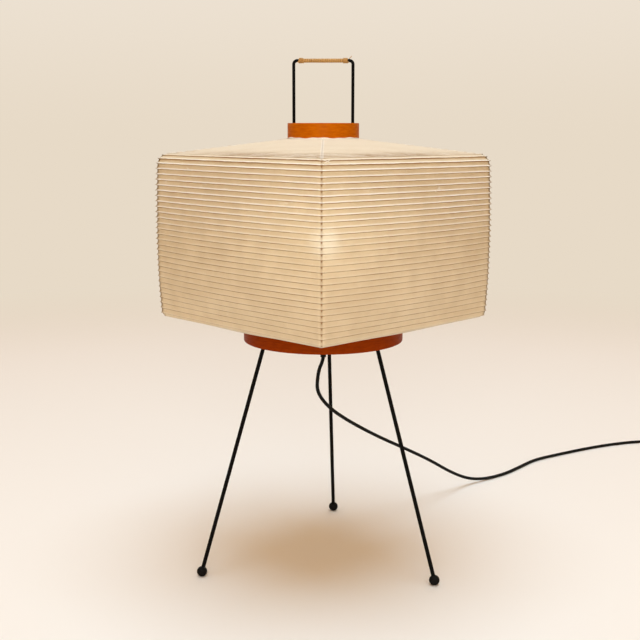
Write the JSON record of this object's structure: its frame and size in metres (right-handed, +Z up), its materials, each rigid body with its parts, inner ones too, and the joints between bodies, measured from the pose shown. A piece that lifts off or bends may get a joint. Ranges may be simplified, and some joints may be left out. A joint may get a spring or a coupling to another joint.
{
  "type": "paper table lamp",
  "caption": "Square ribbed paper lantern shade on splayed wire legs, with lacquered rings, a cane-wrapped carrying handle, a bulb inside and a cord with switch and plug.",
  "frame": {"origin": "on the floor under the lamp's axis", "axes": "+Z up, -Y towards the front corner of the shade, +X to the right"},
  "size_m": [0.9908, 0.8424, 0.7318],
  "materials": {
    "paper": "matt handmade paper, translucent",
    "orange_lacquer": "satin lacquer",
    "black_steel": "satin black",
    "foot_rubber": "satin black",
    "cane": "natural cane",
    "bamboo": "split bamboo",
    "holder_black": "moulded black",
    "brass": "plain",
    "cord_black": "matt black",
    "switch_black": "moulded black",
    "cap_metal": "plain",
    "bulb_glass": "frosted, lit"
  },
  "bodies": {
    "base": {"base_plate": "black_steel", "leg_bosses": "black_steel", "leg_left": "black_steel", "leg_right": "black_steel", "leg_rear": "black_steel", "foot_left": "foot_rubber", "foot_right": "foot_rubber", "foot_rear": "foot_rubber", "handle_frame": "black_steel", "frame_sockets": "black_steel", "collar_crossbar": "black_steel", "stop_ferrules": "black_steel", "handle_wrap": "cane", "wrap_binding_left": "cane", "wrap_binding_right": "cane", "holder_stem": "brass", "stem_nuts": "brass", "cord_grip": "holder_black", "holder_cap": "holder_black", "holder_barrel": "holder_black", "screw_shell": "brass", "contact_post": "holder_black", "centre_contact": "brass", "cord_run": "cord_black", "cord_coil": "cord_black", "switch_base": "switch_black", "switch_cover": "switch_black", "rocker_pin": "black_steel", "plug_body": "switch_black", "plug_blades": "brass"},
    "shade": {"paper_gore_rear_left": "paper", "paper_gore_front_left": "paper", "paper_gore_front_right": "paper", "paper_gore_rear_right": "paper", "bamboo_rib": "bamboo", "top_collar": "orange_lacquer", "bottom_hoop": "orange_lacquer"},
    "bulb": {"bulb_cap": "cap_metal", "bulb_glass": "bulb_glass"},
    "rocker": {"switch_rocker": "switch_black"}
  },
  "joints": [
    {"name": "shade_lift", "type": "slide", "parent": "base", "child": "shade", "axis": [0, 0, 1], "range_m": [0, 0.41]},
    {"name": "bulb_lift", "type": "slide", "parent": "base", "child": "bulb", "axis": [0, 0, 1], "range_m": [0, 0.038]},
    {"name": "switch_rock", "type": "hinge", "parent": "base", "child": "rocker", "pos_m": [0.738, 0.455, 0.0126], "axis": [1, 0, 0], "range_deg": [-7, 7]}
  ]
}
